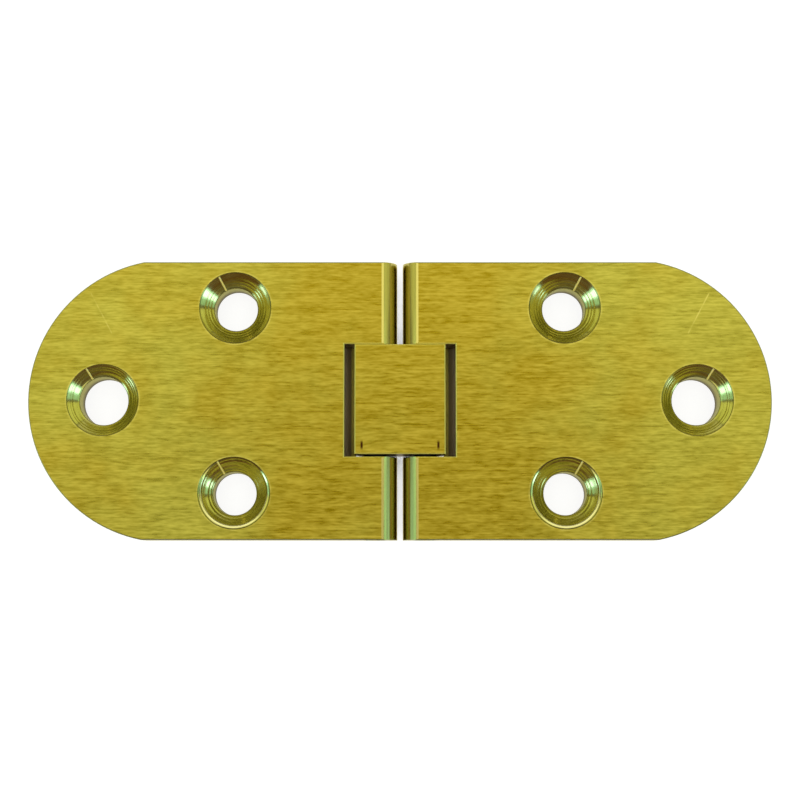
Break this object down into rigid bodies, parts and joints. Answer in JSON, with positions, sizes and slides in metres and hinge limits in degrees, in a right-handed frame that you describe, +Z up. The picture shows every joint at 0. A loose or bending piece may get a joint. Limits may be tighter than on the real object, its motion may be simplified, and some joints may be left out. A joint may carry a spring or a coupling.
{
  "type": "table flap hinge",
  "caption": "Brass table flap hinge: round-ended leaves joined by a link block on pins, lying flat when open and folding face to face.",
  "frame": {"origin": "middle of the underside, opened flat", "axes": "+X along the hinge from the left leaf to the right leaf, +Y across it along the pins, +Z up out of the brushed and countersunk faces"},
  "size_m": [0.08, 0.03, 0.0048],
  "materials": {
    "leaf": "long-grain brushed brass, bare turned countersinks",
    "link": "brushed brass",
    "pin": "turned steel, flat ends"
  },
  "bodies": {
    "fixed_leaf": {"leaf_left": "leaf", "pivot_pin_left": "pin"},
    "link": {"link_block": "link"},
    "flap_leaf": {"leaf_right": "leaf", "pivot_pin_right": "pin"}
  },
  "joints": [
    {"name": "link_pivot", "type": "hinge", "parent": "fixed_leaf", "child": "link", "pos_m": [-0.0027, 0, 0.00255], "axis": [0, -1, 0], "range_deg": [0, 90]},
    {"name": "flap_pivot", "type": "hinge", "parent": "link", "child": "flap_leaf", "pos_m": [0.0027, 0, 0.00255], "axis": [0, -1, 0], "range_deg": [0, 90]}
  ]
}
